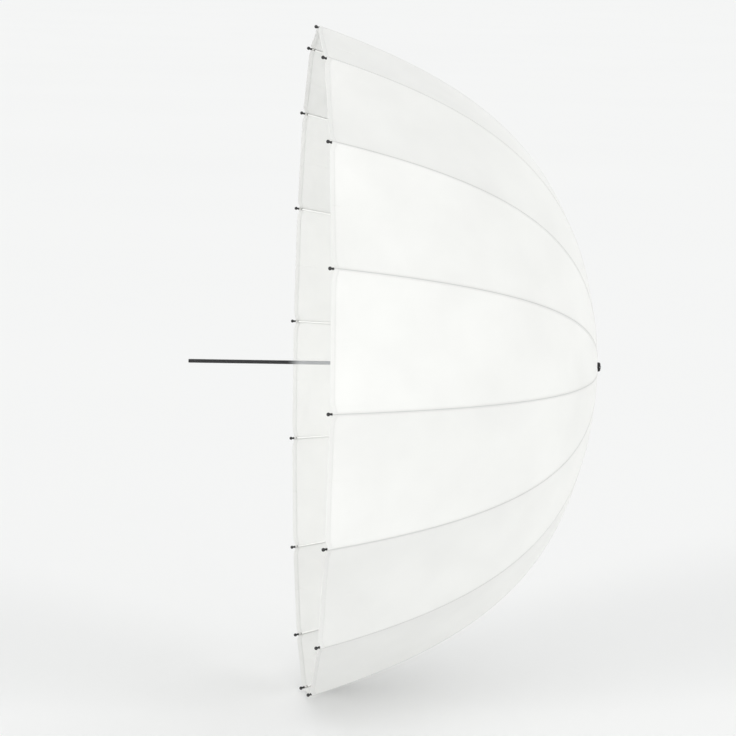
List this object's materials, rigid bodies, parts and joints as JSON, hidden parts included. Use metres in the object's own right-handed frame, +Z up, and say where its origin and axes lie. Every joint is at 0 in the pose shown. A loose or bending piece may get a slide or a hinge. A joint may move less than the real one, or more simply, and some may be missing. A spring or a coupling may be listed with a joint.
{
  "type": "umbrella reflector",
  "caption": "Deep white photographic umbrella: bowl of flat fabric gores on flexible ribs, with hinged stretchers, a sliding runner, a straight bare shaft and a small black end cap.",
  "frame": {"origin": "centre of the flat end face of the shaft at its grip end", "axes": "+X along the shaft towards the crown and the top of the bowl, +Z up through rib 1"},
  "size_m": [0.7747, 1.2524, 1.2524],
  "materials": {
    "shaft_steel": "satin tube, bright inside the bowl, black sleeve finish towards the grip end",
    "black_plastic": "moulded black nylon, fine grain",
    "bright_steel": "zinc-plated wire and rivets",
    "white_fabric": "tight plain-weave white nylon, stitched gores",
    "white_rod": "white glass-fibre rod with black moulded tips and steel ends",
    "black_steel": "black enamel on steel wire"
  },
  "bodies": {
    "shaft_and_crown": {"shaft": "shaft_steel", "shaft_end_plug": "black_plastic", "crown": "black_plastic", "crown_ring_wire": "bright_steel", "crown_pin": "bright_steel", "canopy_washer": "black_plastic", "canopy": "white_fabric", "top_cap": "black_plastic", "cap_screw": "bright_steel"},
    "rib_inner_01": {"rib_inner_01": "white_rod"},
    "rib_outer_01": {"rib_outer_01": "white_rod"},
    "stretcher_01": {"stretcher_01": "black_steel"},
    "rib_inner_02": {"rib_inner_02": "white_rod"},
    "rib_outer_02": {"rib_outer_02": "white_rod"},
    "stretcher_02": {"stretcher_02": "black_steel"},
    "rib_inner_03": {"rib_inner_03": "white_rod"},
    "rib_outer_03": {"rib_outer_03": "white_rod"},
    "stretcher_03": {"stretcher_03": "black_steel"},
    "rib_inner_04": {"rib_inner_04": "white_rod"},
    "rib_outer_04": {"rib_outer_04": "white_rod"},
    "stretcher_04": {"stretcher_04": "black_steel"},
    "rib_inner_05": {"rib_inner_05": "white_rod"},
    "rib_outer_05": {"rib_outer_05": "white_rod"},
    "stretcher_05": {"stretcher_05": "black_steel"},
    "rib_inner_06": {"rib_inner_06": "white_rod"},
    "rib_outer_06": {"rib_outer_06": "white_rod"},
    "stretcher_06": {"stretcher_06": "black_steel"},
    "rib_inner_07": {"rib_inner_07": "white_rod"},
    "rib_outer_07": {"rib_outer_07": "white_rod"},
    "stretcher_07": {"stretcher_07": "black_steel"},
    "rib_inner_08": {"rib_inner_08": "white_rod"},
    "rib_outer_08": {"rib_outer_08": "white_rod"},
    "stretcher_08": {"stretcher_08": "black_steel"},
    "rib_inner_09": {"rib_inner_09": "white_rod"},
    "rib_outer_09": {"rib_outer_09": "white_rod"},
    "stretcher_09": {"stretcher_09": "black_steel"},
    "rib_inner_10": {"rib_inner_10": "white_rod"},
    "rib_outer_10": {"rib_outer_10": "white_rod"},
    "stretcher_10": {"stretcher_10": "black_steel"},
    "rib_inner_11": {"rib_inner_11": "white_rod"},
    "rib_outer_11": {"rib_outer_11": "white_rod"},
    "stretcher_11": {"stretcher_11": "black_steel"},
    "rib_inner_12": {"rib_inner_12": "white_rod"},
    "rib_outer_12": {"rib_outer_12": "white_rod"},
    "stretcher_12": {"stretcher_12": "black_steel"},
    "rib_inner_13": {"rib_inner_13": "white_rod"},
    "rib_outer_13": {"rib_outer_13": "white_rod"},
    "stretcher_13": {"stretcher_13": "black_steel"},
    "rib_inner_14": {"rib_inner_14": "white_rod"},
    "rib_outer_14": {"rib_outer_14": "white_rod"},
    "stretcher_14": {"stretcher_14": "black_steel"},
    "rib_inner_15": {"rib_inner_15": "white_rod"},
    "rib_outer_15": {"rib_outer_15": "white_rod"},
    "stretcher_15": {"stretcher_15": "black_steel"},
    "rib_inner_16": {"rib_inner_16": "white_rod"},
    "rib_outer_16": {"rib_outer_16": "white_rod"},
    "stretcher_16": {"stretcher_16": "black_steel"},
    "runner": {"runner": "black_plastic", "runner_ring_wire": "bright_steel"},
    "runner_catch": {"runner_catch": "bright_steel"}
  },
  "joints": [
    {"name": "canopy_fold", "type": "hinge", "parent": "shaft_and_crown", "child": "rib_inner_01", "pos_m": [0.7565, 0, 0.014], "axis": [0, -1, 0], "range_deg": [0, 67], "deforming": ["runner_catch"]},
    {"name": "rib_01_flex", "type": "hinge", "parent": "rib_inner_01", "child": "rib_outer_01", "pos_m": [0.64988, 0, 0.35905], "axis": [0, -1, 0], "range_deg": [-33.5, 0]},
    {"name": "stretcher_01_pivot", "type": "hinge", "parent": "rib_inner_01", "child": "stretcher_01", "pos_m": [0.65709, 0, 0.33735], "axis": [0, -1, 0], "range_deg": [-134, 0]},
    {"name": "rib_02_fold", "type": "hinge", "parent": "shaft_and_crown", "child": "rib_inner_02", "pos_m": [0.7565, -0.00536, 0.01293], "axis": [0, -0.9239, -0.3827], "range_deg": [0, 67]},
    {"name": "rib_02_flex", "type": "hinge", "parent": "rib_inner_02", "child": "rib_outer_02", "pos_m": [0.64988, -0.1374, 0.33172], "axis": [0, -0.9239, -0.3827], "range_deg": [-33.5, 0]},
    {"name": "stretcher_02_pivot", "type": "hinge", "parent": "rib_inner_02", "child": "stretcher_02", "pos_m": [0.65709, -0.1291, 0.31167], "axis": [0, -0.9239, -0.3827], "range_deg": [-134, 0]},
    {"name": "rib_03_fold", "type": "hinge", "parent": "shaft_and_crown", "child": "rib_inner_03", "pos_m": [0.7565, -0.0099, 0.0099], "axis": [0, -0.7071, -0.7071], "range_deg": [0, 67]},
    {"name": "rib_03_flex", "type": "hinge", "parent": "rib_inner_03", "child": "rib_outer_03", "pos_m": [0.64988, -0.25389, 0.25389], "axis": [0, -0.7071, -0.7071], "range_deg": [-33.5, 0]},
    {"name": "stretcher_03_pivot", "type": "hinge", "parent": "rib_inner_03", "child": "stretcher_03", "pos_m": [0.65709, -0.23854, 0.23854], "axis": [0, -0.7071, -0.7071], "range_deg": [-134, 0]},
    {"name": "rib_04_fold", "type": "hinge", "parent": "shaft_and_crown", "child": "rib_inner_04", "pos_m": [0.7565, -0.01293, 0.00536], "axis": [0, -0.3827, -0.9239], "range_deg": [0, 67]},
    {"name": "rib_04_flex", "type": "hinge", "parent": "rib_inner_04", "child": "rib_outer_04", "pos_m": [0.64988, -0.33172, 0.1374], "axis": [0, -0.3827, -0.9239], "range_deg": [-33.5, 0]},
    {"name": "stretcher_04_pivot", "type": "hinge", "parent": "rib_inner_04", "child": "stretcher_04", "pos_m": [0.65709, -0.31167, 0.1291], "axis": [0, -0.3827, -0.9239], "range_deg": [-134, 0]},
    {"name": "rib_05_fold", "type": "hinge", "parent": "shaft_and_crown", "child": "rib_inner_05", "pos_m": [0.7565, -0.014, 0], "axis": [0, 0, -1], "range_deg": [0, 67]},
    {"name": "rib_05_flex", "type": "hinge", "parent": "rib_inner_05", "child": "rib_outer_05", "pos_m": [0.64988, -0.35905, 0], "axis": [0, 0, -1], "range_deg": [-33.5, 0]},
    {"name": "stretcher_05_pivot", "type": "hinge", "parent": "rib_inner_05", "child": "stretcher_05", "pos_m": [0.65709, -0.33735, 0], "axis": [0, 0, -1], "range_deg": [-134, 0]},
    {"name": "rib_06_fold", "type": "hinge", "parent": "shaft_and_crown", "child": "rib_inner_06", "pos_m": [0.7565, -0.01293, -0.00536], "axis": [0, 0.3827, -0.9239], "range_deg": [0, 67]},
    {"name": "rib_06_flex", "type": "hinge", "parent": "rib_inner_06", "child": "rib_outer_06", "pos_m": [0.64988, -0.33172, -0.1374], "axis": [0, 0.3827, -0.9239], "range_deg": [-33.5, 0]},
    {"name": "stretcher_06_pivot", "type": "hinge", "parent": "rib_inner_06", "child": "stretcher_06", "pos_m": [0.65709, -0.31167, -0.1291], "axis": [0, 0.3827, -0.9239], "range_deg": [-134, 0]},
    {"name": "rib_07_fold", "type": "hinge", "parent": "shaft_and_crown", "child": "rib_inner_07", "pos_m": [0.7565, -0.0099, -0.0099], "axis": [0, 0.7071, -0.7071], "range_deg": [0, 67]},
    {"name": "rib_07_flex", "type": "hinge", "parent": "rib_inner_07", "child": "rib_outer_07", "pos_m": [0.64988, -0.25389, -0.25389], "axis": [0, 0.7071, -0.7071], "range_deg": [-33.5, 0]},
    {"name": "stretcher_07_pivot", "type": "hinge", "parent": "rib_inner_07", "child": "stretcher_07", "pos_m": [0.65709, -0.23854, -0.23854], "axis": [0, 0.7071, -0.7071], "range_deg": [-134, 0]},
    {"name": "rib_08_fold", "type": "hinge", "parent": "shaft_and_crown", "child": "rib_inner_08", "pos_m": [0.7565, -0.00536, -0.01293], "axis": [0, 0.9239, -0.3827], "range_deg": [0, 67]},
    {"name": "rib_08_flex", "type": "hinge", "parent": "rib_inner_08", "child": "rib_outer_08", "pos_m": [0.64988, -0.1374, -0.33172], "axis": [0, 0.9239, -0.3827], "range_deg": [-33.5, 0]},
    {"name": "stretcher_08_pivot", "type": "hinge", "parent": "rib_inner_08", "child": "stretcher_08", "pos_m": [0.65709, -0.1291, -0.31167], "axis": [0, 0.9239, -0.3827], "range_deg": [-134, 0]},
    {"name": "rib_09_fold", "type": "hinge", "parent": "shaft_and_crown", "child": "rib_inner_09", "pos_m": [0.7565, 0, -0.014], "axis": [0, 1, 0], "range_deg": [0, 67]},
    {"name": "rib_09_flex", "type": "hinge", "parent": "rib_inner_09", "child": "rib_outer_09", "pos_m": [0.64988, 0, -0.35905], "axis": [0, 1, 0], "range_deg": [-33.5, 0]},
    {"name": "stretcher_09_pivot", "type": "hinge", "parent": "rib_inner_09", "child": "stretcher_09", "pos_m": [0.65709, 0, -0.33735], "axis": [0, 1, 0], "range_deg": [-134, 0]},
    {"name": "rib_10_fold", "type": "hinge", "parent": "shaft_and_crown", "child": "rib_inner_10", "pos_m": [0.7565, 0.00536, -0.01293], "axis": [0, 0.9239, 0.3827], "range_deg": [0, 67]},
    {"name": "rib_10_flex", "type": "hinge", "parent": "rib_inner_10", "child": "rib_outer_10", "pos_m": [0.64988, 0.1374, -0.33172], "axis": [0, 0.9239, 0.3827], "range_deg": [-33.5, 0]},
    {"name": "stretcher_10_pivot", "type": "hinge", "parent": "rib_inner_10", "child": "stretcher_10", "pos_m": [0.65709, 0.1291, -0.31167], "axis": [0, 0.9239, 0.3827], "range_deg": [-134, 0]},
    {"name": "rib_11_fold", "type": "hinge", "parent": "shaft_and_crown", "child": "rib_inner_11", "pos_m": [0.7565, 0.0099, -0.0099], "axis": [0, 0.7071, 0.7071], "range_deg": [0, 67]},
    {"name": "rib_11_flex", "type": "hinge", "parent": "rib_inner_11", "child": "rib_outer_11", "pos_m": [0.64988, 0.25389, -0.25389], "axis": [0, 0.7071, 0.7071], "range_deg": [-33.5, 0]},
    {"name": "stretcher_11_pivot", "type": "hinge", "parent": "rib_inner_11", "child": "stretcher_11", "pos_m": [0.65709, 0.23854, -0.23854], "axis": [0, 0.7071, 0.7071], "range_deg": [-134, 0]},
    {"name": "rib_12_fold", "type": "hinge", "parent": "shaft_and_crown", "child": "rib_inner_12", "pos_m": [0.7565, 0.01293, -0.00536], "axis": [0, 0.3827, 0.9239], "range_deg": [0, 67]},
    {"name": "rib_12_flex", "type": "hinge", "parent": "rib_inner_12", "child": "rib_outer_12", "pos_m": [0.64988, 0.33172, -0.1374], "axis": [0, 0.3827, 0.9239], "range_deg": [-33.5, 0]},
    {"name": "stretcher_12_pivot", "type": "hinge", "parent": "rib_inner_12", "child": "stretcher_12", "pos_m": [0.65709, 0.31167, -0.1291], "axis": [0, 0.3827, 0.9239], "range_deg": [-134, 0]},
    {"name": "rib_13_fold", "type": "hinge", "parent": "shaft_and_crown", "child": "rib_inner_13", "pos_m": [0.7565, 0.014, 0], "axis": [0, 0, 1], "range_deg": [0, 67]},
    {"name": "rib_13_flex", "type": "hinge", "parent": "rib_inner_13", "child": "rib_outer_13", "pos_m": [0.64988, 0.35905, 0], "axis": [0, 0, 1], "range_deg": [-33.5, 0]},
    {"name": "stretcher_13_pivot", "type": "hinge", "parent": "rib_inner_13", "child": "stretcher_13", "pos_m": [0.65709, 0.33735, 0], "axis": [0, 0, 1], "range_deg": [-134, 0]},
    {"name": "rib_14_fold", "type": "hinge", "parent": "shaft_and_crown", "child": "rib_inner_14", "pos_m": [0.7565, 0.01293, 0.00536], "axis": [0, -0.3827, 0.9239], "range_deg": [0, 67]},
    {"name": "rib_14_flex", "type": "hinge", "parent": "rib_inner_14", "child": "rib_outer_14", "pos_m": [0.64988, 0.33172, 0.1374], "axis": [0, -0.3827, 0.9239], "range_deg": [-33.5, 0]},
    {"name": "stretcher_14_pivot", "type": "hinge", "parent": "rib_inner_14", "child": "stretcher_14", "pos_m": [0.65709, 0.31167, 0.1291], "axis": [0, -0.3827, 0.9239], "range_deg": [-134, 0]},
    {"name": "rib_15_fold", "type": "hinge", "parent": "shaft_and_crown", "child": "rib_inner_15", "pos_m": [0.7565, 0.0099, 0.0099], "axis": [0, -0.7071, 0.7071], "range_deg": [0, 67]},
    {"name": "rib_15_flex", "type": "hinge", "parent": "rib_inner_15", "child": "rib_outer_15", "pos_m": [0.64988, 0.25389, 0.25389], "axis": [0, -0.7071, 0.7071], "range_deg": [-33.5, 0]},
    {"name": "stretcher_15_pivot", "type": "hinge", "parent": "rib_inner_15", "child": "stretcher_15", "pos_m": [0.65709, 0.23854, 0.23854], "axis": [0, -0.7071, 0.7071], "range_deg": [-134, 0]},
    {"name": "rib_16_fold", "type": "hinge", "parent": "shaft_and_crown", "child": "rib_inner_16", "pos_m": [0.7565, 0.00536, 0.01293], "axis": [0, -0.9239, 0.3827], "range_deg": [0, 67]},
    {"name": "rib_16_flex", "type": "hinge", "parent": "rib_inner_16", "child": "rib_outer_16", "pos_m": [0.64988, 0.1374, 0.33172], "axis": [0, -0.9239, 0.3827], "range_deg": [-33.5, 0]},
    {"name": "stretcher_16_pivot", "type": "hinge", "parent": "rib_inner_16", "child": "stretcher_16", "pos_m": [0.65709, 0.1291, 0.31167], "axis": [0, -0.9239, 0.3827], "range_deg": [-134, 0]},
    {"name": "runner_pivot", "type": "hinge", "parent": "stretcher_01", "child": "runner", "pos_m": [0.55769, 0, 0.014], "axis": [0, -1, 0], "range_deg": [0, 67]},
    {"name": "catch_press", "type": "hinge", "parent": "shaft_and_crown", "child": "runner_catch", "pos_m": [0.48139, 0, 0.0013], "axis": [0, 1, 0], "range_deg": [0, 9], "stiffness_Nm_per_rad": 0.06}
  ],
  "couplings": [
    {"joint": "rib_01_flex", "follows": "canopy_fold", "ratio": -0.5},
    {"joint": "stretcher_01_pivot", "follows": "canopy_fold", "ratio": -2},
    {"joint": "rib_02_fold", "follows": "canopy_fold", "ratio": 1},
    {"joint": "rib_02_flex", "follows": "canopy_fold", "ratio": -0.5},
    {"joint": "stretcher_02_pivot", "follows": "canopy_fold", "ratio": -2},
    {"joint": "rib_03_fold", "follows": "canopy_fold", "ratio": 1},
    {"joint": "rib_03_flex", "follows": "canopy_fold", "ratio": -0.5},
    {"joint": "stretcher_03_pivot", "follows": "canopy_fold", "ratio": -2},
    {"joint": "rib_04_fold", "follows": "canopy_fold", "ratio": 1},
    {"joint": "rib_04_flex", "follows": "canopy_fold", "ratio": -0.5},
    {"joint": "stretcher_04_pivot", "follows": "canopy_fold", "ratio": -2},
    {"joint": "rib_05_fold", "follows": "canopy_fold", "ratio": 1},
    {"joint": "rib_05_flex", "follows": "canopy_fold", "ratio": -0.5},
    {"joint": "stretcher_05_pivot", "follows": "canopy_fold", "ratio": -2},
    {"joint": "rib_06_fold", "follows": "canopy_fold", "ratio": 1},
    {"joint": "rib_06_flex", "follows": "canopy_fold", "ratio": -0.5},
    {"joint": "stretcher_06_pivot", "follows": "canopy_fold", "ratio": -2},
    {"joint": "rib_07_fold", "follows": "canopy_fold", "ratio": 1},
    {"joint": "rib_07_flex", "follows": "canopy_fold", "ratio": -0.5},
    {"joint": "stretcher_07_pivot", "follows": "canopy_fold", "ratio": -2},
    {"joint": "rib_08_fold", "follows": "canopy_fold", "ratio": 1},
    {"joint": "rib_08_flex", "follows": "canopy_fold", "ratio": -0.5},
    {"joint": "stretcher_08_pivot", "follows": "canopy_fold", "ratio": -2},
    {"joint": "rib_09_fold", "follows": "canopy_fold", "ratio": 1},
    {"joint": "rib_09_flex", "follows": "canopy_fold", "ratio": -0.5},
    {"joint": "stretcher_09_pivot", "follows": "canopy_fold", "ratio": -2},
    {"joint": "rib_10_fold", "follows": "canopy_fold", "ratio": 1},
    {"joint": "rib_10_flex", "follows": "canopy_fold", "ratio": -0.5},
    {"joint": "stretcher_10_pivot", "follows": "canopy_fold", "ratio": -2},
    {"joint": "rib_11_fold", "follows": "canopy_fold", "ratio": 1},
    {"joint": "rib_11_flex", "follows": "canopy_fold", "ratio": -0.5},
    {"joint": "stretcher_11_pivot", "follows": "canopy_fold", "ratio": -2},
    {"joint": "rib_12_fold", "follows": "canopy_fold", "ratio": 1},
    {"joint": "rib_12_flex", "follows": "canopy_fold", "ratio": -0.5},
    {"joint": "stretcher_12_pivot", "follows": "canopy_fold", "ratio": -2},
    {"joint": "rib_13_fold", "follows": "canopy_fold", "ratio": 1},
    {"joint": "rib_13_flex", "follows": "canopy_fold", "ratio": -0.5},
    {"joint": "stretcher_13_pivot", "follows": "canopy_fold", "ratio": -2},
    {"joint": "rib_14_fold", "follows": "canopy_fold", "ratio": 1},
    {"joint": "rib_14_flex", "follows": "canopy_fold", "ratio": -0.5},
    {"joint": "stretcher_14_pivot", "follows": "canopy_fold", "ratio": -2},
    {"joint": "rib_15_fold", "follows": "canopy_fold", "ratio": 1},
    {"joint": "rib_15_flex", "follows": "canopy_fold", "ratio": -0.5},
    {"joint": "stretcher_15_pivot", "follows": "canopy_fold", "ratio": -2},
    {"joint": "rib_16_fold", "follows": "canopy_fold", "ratio": 1},
    {"joint": "rib_16_flex", "follows": "canopy_fold", "ratio": -0.5},
    {"joint": "stretcher_16_pivot", "follows": "canopy_fold", "ratio": -2},
    {"joint": "runner_pivot", "follows": "canopy_fold", "ratio": 1}
  ]
}
